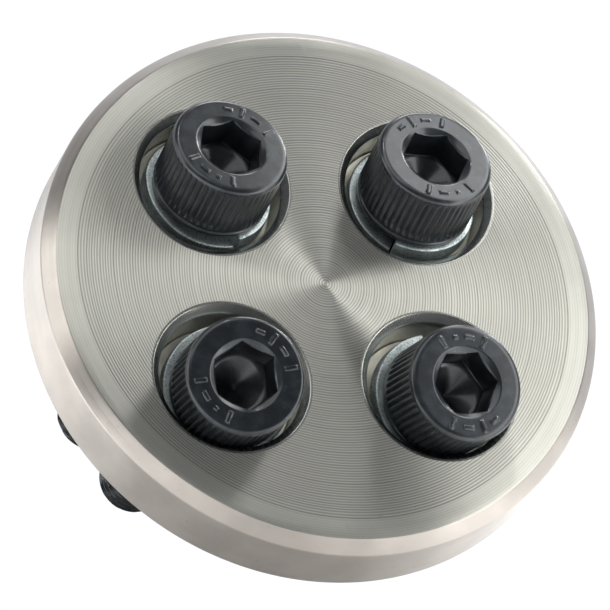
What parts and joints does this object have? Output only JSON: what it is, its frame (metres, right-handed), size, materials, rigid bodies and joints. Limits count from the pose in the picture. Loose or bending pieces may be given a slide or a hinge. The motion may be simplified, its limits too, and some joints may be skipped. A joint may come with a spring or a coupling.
{
  "type": "lathe mounting plate",
  "caption": "Round turned steel lathe plate with a chamfered rim. Socket cap screws with split spring washers lie loose in its counterbored holes.",
  "frame": {"origin": "centre of the plate's turned front face", "axes": "+Z out of the front face, towards the screw heads; the holes lie at 45, 135, 225 and 315 degrees from +X towards +Y"},
  "size_m": [0.0484, 0.0484, 0.0406],
  "materials": {
    "turned_steel": "turned, fine concentric grooves",
    "plated_spring_steel": "dull zinc plating",
    "black_oxide_steel": "black oxide, lightly oiled"
  },
  "bodies": {
    "plate": {"plate": "turned_steel"},
    "washer_1": {"spring_washer_1": "plated_spring_steel"},
    "screw_1": {"cap_screw_1": "black_oxide_steel"},
    "washer_2": {"spring_washer_2": "plated_spring_steel"},
    "screw_2": {"cap_screw_2": "black_oxide_steel"},
    "washer_3": {"spring_washer_3": "plated_spring_steel"},
    "screw_3": {"cap_screw_3": "black_oxide_steel"},
    "washer_4": {"spring_washer_4": "plated_spring_steel"},
    "screw_4": {"cap_screw_4": "black_oxide_steel"}
  },
  "joints": [
    {"name": "straighten_1", "type": "hinge", "parent": "plate", "child": "washer_1", "pos_m": [0.0102, 0.01398, -0.00392], "axis": [0.9744, -0.225, 0], "range_deg": [0, 4]},
    {"name": "draw_out_1", "type": "slide", "parent": "washer_1", "child": "screw_1", "axis": [0.0456, 0.1976, 0.9792], "range_m": [0, 0.038]},
    {"name": "straighten_2", "type": "hinge", "parent": "plate", "child": "washer_2", "pos_m": [-0.0075, 0.01391, -0.00392], "axis": [0.9613, -0.2756, 0], "range_deg": [0, 4]},
    {"name": "draw_out_2", "type": "slide", "parent": "washer_2", "child": "screw_2", "axis": [0.0554, 0.1933, 0.9796], "range_m": [0, 0.038]},
    {"name": "straighten_3", "type": "hinge", "parent": "plate", "child": "washer_3", "pos_m": [-0.01028, -0.01445, -0.00392], "axis": [-0.9703, 0.2419, 0], "range_deg": [0, 4]},
    {"name": "draw_out_3", "type": "slide", "parent": "washer_3", "child": "screw_3", "axis": [-0.0515, -0.2067, 0.977], "range_m": [0, 0.038]},
    {"name": "straighten_4", "type": "hinge", "parent": "plate", "child": "washer_4", "pos_m": [0.0116, -0.01395, -0.00392], "axis": [-0.8746, -0.4848, 0], "range_deg": [0, 4]},
    {"name": "draw_out_4", "type": "slide", "parent": "washer_4", "child": "screw_4", "axis": [0.0967, -0.1744, 0.9799], "range_m": [0, 0.038]}
  ]
}
